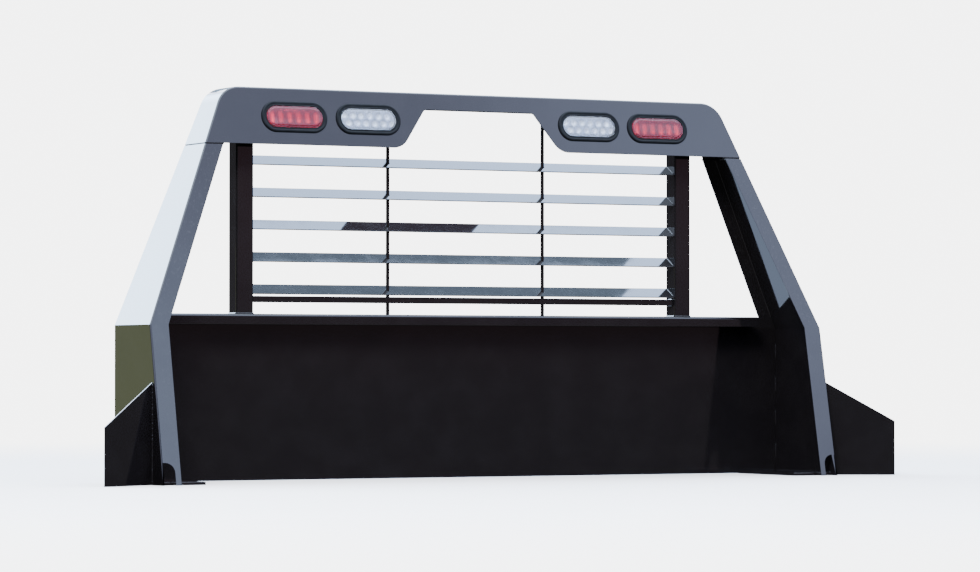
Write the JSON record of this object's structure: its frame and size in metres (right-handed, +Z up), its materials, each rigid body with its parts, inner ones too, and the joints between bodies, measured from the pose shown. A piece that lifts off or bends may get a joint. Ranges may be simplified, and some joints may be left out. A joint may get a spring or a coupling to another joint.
{
  "type": "headache rack",
  "caption": "Truck-bed headache rack: bulkhead, bent channel legs, leaning head panel with oval lamps, and a fixed louvre guarding the cab window.",
  "frame": {"origin": "middle of the bounding box at deck level, on the rack's plane of symmetry", "axes": "+X toward the passenger side, +Y toward the cab, +Z up; the lamps face -Y"},
  "size_m": [2.409, 0.353, 1.05],
  "materials": {
    "black_paint": "gloss black paint",
    "rubber": "dull moulded rubber",
    "red_lens": "glossy tinted lens",
    "clear_lens": "glossy clear lens",
    "housing_plastic": "moulded plastic",
    "board_coating": "coated circuit board"
  },
  "bodies": {
    "root": {"head_panel": "black_paint", "upper_leg_left": "black_paint", "lower_leg_left": "black_paint", "wing_left": "black_paint", "base_plate_left": "black_paint", "louvre_post_left": "black_paint", "louvre_rod_left": "black_paint", "upper_leg_right": "black_paint", "lower_leg_right": "black_paint", "wing_right": "black_paint", "base_plate_right": "black_paint", "louvre_post_right": "black_paint", "louvre_rod_right": "black_paint", "bulkhead_panel": "black_paint", "bulkhead_top_rail": "black_paint", "louvre_bottom_bar": "black_paint", "louvre_slat_1": "black_paint", "louvre_slat_2": "black_paint", "louvre_slat_3": "black_paint", "louvre_slat_4": "black_paint", "louvre_slat_5": "black_paint", "lamp_grommet_1": "rubber", "lamp_lens_1": "red_lens", "lamp_housing_1": "housing_plastic", "lamp_board_1": "board_coating", "lamp_grommet_2": "rubber", "lamp_lens_2": "clear_lens", "lamp_housing_2": "housing_plastic", "lamp_board_2": "board_coating", "lamp_grommet_3": "rubber", "lamp_lens_3": "clear_lens", "lamp_housing_3": "housing_plastic", "lamp_board_3": "board_coating", "lamp_grommet_4": "rubber", "lamp_lens_4": "red_lens", "lamp_housing_4": "housing_plastic", "lamp_board_4": "board_coating"}
  },
  "joints": []
}
